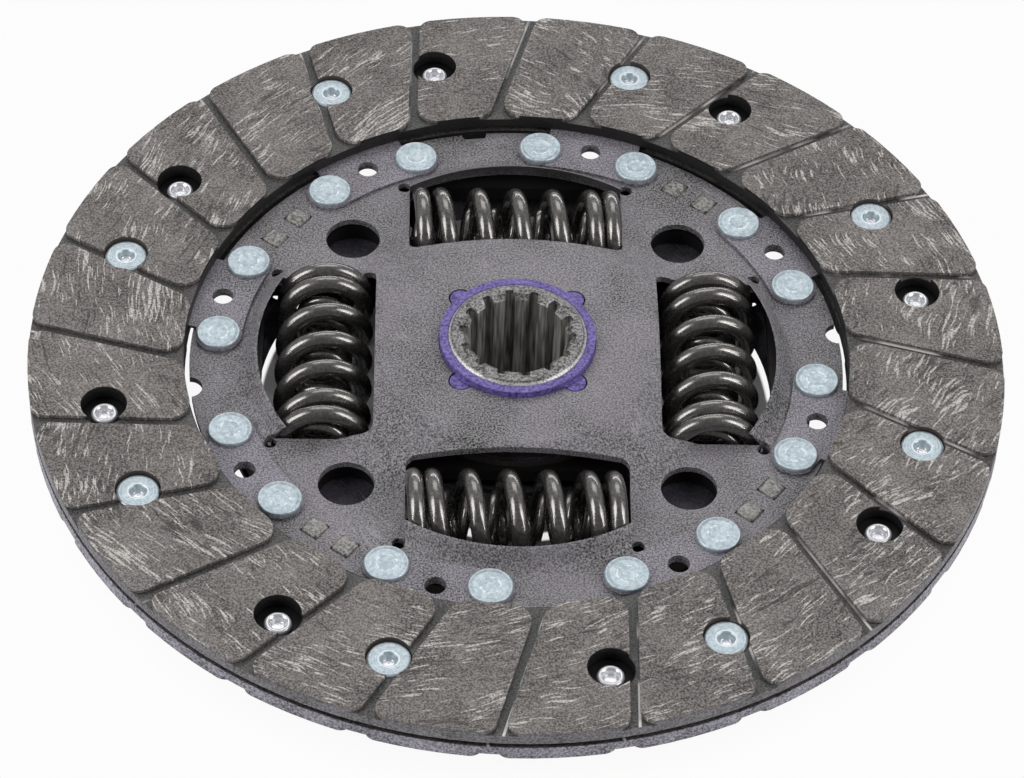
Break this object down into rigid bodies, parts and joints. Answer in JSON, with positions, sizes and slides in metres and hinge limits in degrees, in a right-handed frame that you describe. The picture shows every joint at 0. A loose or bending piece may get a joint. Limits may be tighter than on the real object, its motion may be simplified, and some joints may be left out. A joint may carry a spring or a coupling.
{
  "type": "clutch disc",
  "caption": "Sprung clutch driven disc: two riveted grooved friction linings on cushion segments, coil springs in plate windows, violet centring bush, splined hub.",
  "frame": {"origin": "on the hub axis, half way between the two friction faces", "axes": "+Z along the hub axis, out of the side with the violet bush; +X and +Y through the middles of two spring windows"},
  "size_m": [0.2, 0.2, 0.0245],
  "materials": {
    "friction_compound": "matt moulded friction compound with yarn",
    "rivet_zinc": "pale zinc plate",
    "spring_sheet": "dark hardened sheet",
    "phosphated_plate": "dark phosphate, satin",
    "stop_steel": "plain steel, staked ends",
    "hub_steel": "turned steel",
    "violet_plastic": "smooth moulded plastic",
    "dark_plastic": "smooth moulded plastic",
    "friction_ring_material": "matt friction ring",
    "oiled_spring_wire": "oil blackened wire, glossy"
  },
  "bodies": {
    "disc": {"lining_upper": "friction_compound", "lining_lower": "friction_compound", "lining_rivets_upper": "rivet_zinc", "lining_rivets_lower": "rivet_zinc", "cushion_segment_1": "spring_sheet", "cushion_segment_2": "spring_sheet", "cushion_segment_3": "spring_sheet", "cushion_segment_4": "spring_sheet", "cushion_segment_5": "spring_sheet", "cushion_segment_6": "spring_sheet", "cushion_segment_7": "spring_sheet", "cushion_segment_8": "spring_sheet", "segment_rivets": "rivet_zinc", "drive_plate": "phosphated_plate", "stop_spacer_1": "stop_steel", "stop_spacer_2": "stop_steel", "stop_spacer_3": "stop_steel", "stop_spacer_4": "stop_steel", "retainer_plate": "phosphated_plate", "centering_bush": "violet_plastic", "disc_spring": "spring_sheet", "pressure_ring": "stop_steel", "friction_ring_front": "friction_ring_material", "friction_ring_rear": "friction_ring_material", "rear_bush": "dark_plastic"},
    "hub": {"hub": "hub_steel"},
    "springs": {"damper_spring_outer_1": "oiled_spring_wire", "damper_spring_outer_2": "oiled_spring_wire", "damper_spring_outer_3": "oiled_spring_wire", "damper_spring_outer_4": "oiled_spring_wire", "damper_spring_inner_1": "oiled_spring_wire", "damper_spring_inner_2": "oiled_spring_wire", "damper_spring_inner_3": "oiled_spring_wire", "damper_spring_inner_4": "oiled_spring_wire"}
  },
  "joints": [
    {"name": "hub_twist", "type": "hinge", "parent": "disc", "child": "hub", "pos_m": [0, 0, 0], "axis": [0, 0, 1], "range_deg": [-7.5, 7.5], "stiffness_Nm_per_rad": 150, "deforming": ["damper_spring_outer_1", "damper_spring_outer_2", "damper_spring_outer_3", "damper_spring_outer_4", "damper_spring_inner_1", "damper_spring_inner_2", "damper_spring_inner_3", "damper_spring_inner_4"]},
    {"name": "spring_follow", "type": "hinge", "parent": "disc", "child": "springs", "pos_m": [0, 0, 0], "axis": [0, 0, 1], "range_deg": [-3.75, 3.75]}
  ],
  "couplings": [
    {"joint": "spring_follow", "follows": "hub_twist", "ratio": 0.5}
  ]
}
